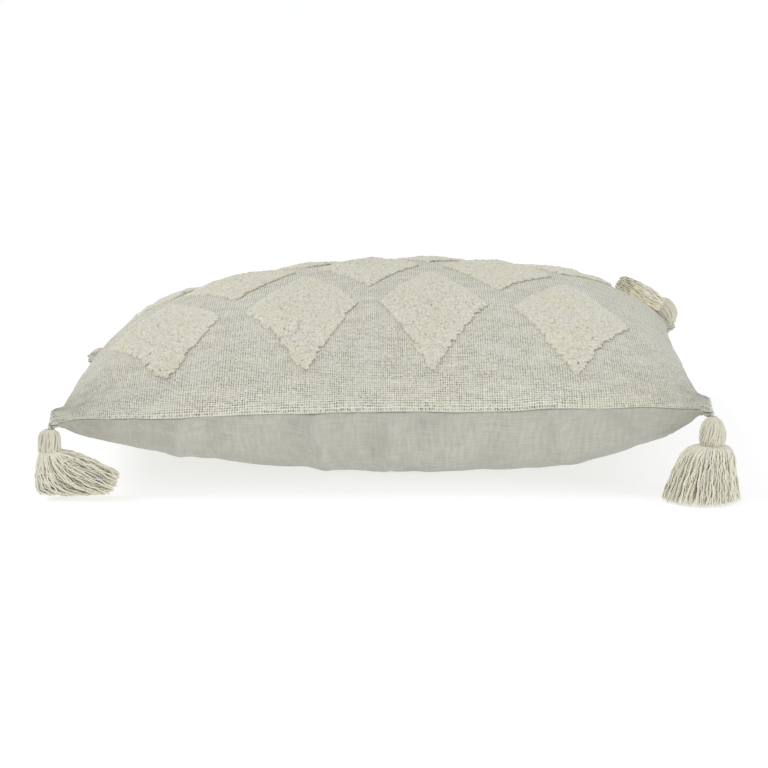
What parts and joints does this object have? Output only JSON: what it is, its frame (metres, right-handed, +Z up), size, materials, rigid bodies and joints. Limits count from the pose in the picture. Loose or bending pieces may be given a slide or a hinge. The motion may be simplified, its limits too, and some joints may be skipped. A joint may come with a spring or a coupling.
{
  "type": "throw pillow",
  "caption": "Square throw pillow with a zipped cotton cover, tufted diamond motifs on one side, a filled insert and a yarn tassel at each corner.",
  "frame": {"origin": "centre of the flat patch of the plain underside that the pillow rests on", "axes": "+Z up through the pillow from the plain side to the tufted side, +X along the front edge to the right, +Y from the front edge to the rear edge that holds the zipper"},
  "size_m": [0.4655, 0.4914, 0.1293],
  "materials": {
    "front_cloth": "open slubby basket-like cotton weave, undyed off-white with raised slub streaks, matt",
    "back_cloth": "plain close cotton weave, undyed off-white, matt, softly creased",
    "tuft_yarn": "dense cream looped cotton pile, matt",
    "insert_cloth": "plain white polyester lining, matt",
    "filling": "white polyester fibre filling",
    "zipper_tape": "woven cream polyester tape",
    "zipper_nylon": "cream nylon coil, slight sheen",
    "zipper_metal": "nickel-toned die-cast metal, satin",
    "tassel_yarn": "cream multi-strand twisted cotton yarn, matt"
  },
  "bodies": {
    "pillow": {"cover_front_panel": "front_cloth", "cover_back_panel": "back_cloth", "tuft_diamond_01": "tuft_yarn", "tuft_diamond_02": "tuft_yarn", "tuft_diamond_03": "tuft_yarn", "tuft_diamond_04": "tuft_yarn", "tuft_diamond_05": "tuft_yarn", "tuft_diamond_06": "tuft_yarn", "tuft_diamond_07": "tuft_yarn", "tuft_diamond_08": "tuft_yarn", "tuft_diamond_09": "tuft_yarn", "tuft_diamond_10": "tuft_yarn", "tuft_diamond_11": "tuft_yarn", "insert_top_panel": "insert_cloth", "insert_bottom_panel": "insert_cloth", "insert_fill": "filling", "zipper_tape_upper": "zipper_tape", "zipper_tape_lower": "zipper_tape", "zipper_coil_upper": "zipper_nylon", "zipper_coil_lower": "zipper_nylon", "zipper_stop_left": "zipper_metal", "zipper_stop_right": "zipper_metal"},
    "zipper_slider": {"zipper_slider": "zipper_metal"},
    "zipper_pull": {"zipper_pull": "zipper_metal"},
    "tassel_front_left_cord": {"tassel_front_left_cord": "tassel_yarn"},
    "tassel_front_left": {"tassel_front_left_head": "tassel_yarn", "tassel_front_left_neck_wrap": "tassel_yarn", "tassel_front_left_skirt": "tassel_yarn"},
    "tassel_front_right_cord": {"tassel_front_right_cord": "tassel_yarn"},
    "tassel_front_right": {"tassel_front_right_head": "tassel_yarn", "tassel_front_right_neck_wrap": "tassel_yarn", "tassel_front_right_skirt": "tassel_yarn"},
    "tassel_rear_left_cord": {"tassel_rear_left_cord": "tassel_yarn"},
    "tassel_rear_left": {"tassel_rear_left_head": "tassel_yarn", "tassel_rear_left_neck_wrap": "tassel_yarn", "tassel_rear_left_skirt": "tassel_yarn"},
    "tassel_rear_right_cord": {"tassel_rear_right_cord": "tassel_yarn"},
    "tassel_rear_right": {"tassel_rear_right_head": "tassel_yarn", "tassel_rear_right_neck_wrap": "tassel_yarn", "tassel_rear_right_skirt": "tassel_yarn"}
  },
  "joints": [
    {"name": "zipper_slide", "type": "slide", "parent": "pillow", "child": "zipper_slider", "axis": [0.9982, 0, 0.0593], "range_m": [0, 0.28]},
    {"name": "zipper_pull_swing", "type": "hinge", "parent": "zipper_slider", "child": "zipper_pull", "pos_m": [-0.13975, 0.2082, 0.0267], "axis": [-0.0593, 0, 0.9982], "range_deg": [0, 175]},
    {"name": "tassel_front_left_lift", "type": "hinge", "parent": "pillow", "child": "tassel_front_left_cord", "pos_m": [-0.2152, -0.2162, 0.0476], "axis": [-0.7071, 0.7071, 0], "range_deg": [0, 150]},
    {"name": "tassel_front_left_sway", "type": "hinge", "parent": "tassel_front_left_cord", "child": "tassel_front_left", "pos_m": [-0.2152, -0.2162, 0.0434], "axis": [-0.7071, -0.7071, 0], "range_deg": [-25, 25]},
    {"name": "tassel_front_right_lift", "type": "hinge", "parent": "pillow", "child": "tassel_front_right_cord", "pos_m": [0.2152, -0.2162, 0.0562], "axis": [-0.7071, -0.7071, 0], "range_deg": [0, 150]},
    {"name": "tassel_front_right_sway", "type": "hinge", "parent": "tassel_front_right_cord", "child": "tassel_front_right", "pos_m": [0.2152, -0.2162, 0.052], "axis": [0.7071, -0.7071, 0], "range_deg": [-30, 30]},
    {"name": "tassel_rear_left_lift", "type": "hinge", "parent": "pillow", "child": "tassel_rear_left_cord", "pos_m": [-0.2205, 0.217, 0.025], "axis": [0.4027, -0.9153, 0], "range_deg": [0, 180]},
    {"name": "tassel_rear_left_sway", "type": "hinge", "parent": "tassel_rear_left_cord", "child": "tassel_rear_left", "pos_m": [-0.21678, 0.21864, 0.02396], "axis": [0.2272, 0.1, 0.9687], "range_deg": [-5, 45]},
    {"name": "tassel_rear_right_lift", "type": "hinge", "parent": "pillow", "child": "tassel_rear_right_cord", "pos_m": [0.2205, 0.2165, 0.052], "axis": [-0.564, 0.8258, 0], "range_deg": [0, 165]},
    {"name": "tassel_rear_right_sway", "type": "hinge", "parent": "tassel_rear_right_cord", "child": "tassel_rear_right", "pos_m": [0.21766, 0.21456, 0.05442], "axis": [0.4758, 0.3249, 0.8173], "range_deg": [-35, 5]}
  ]
}
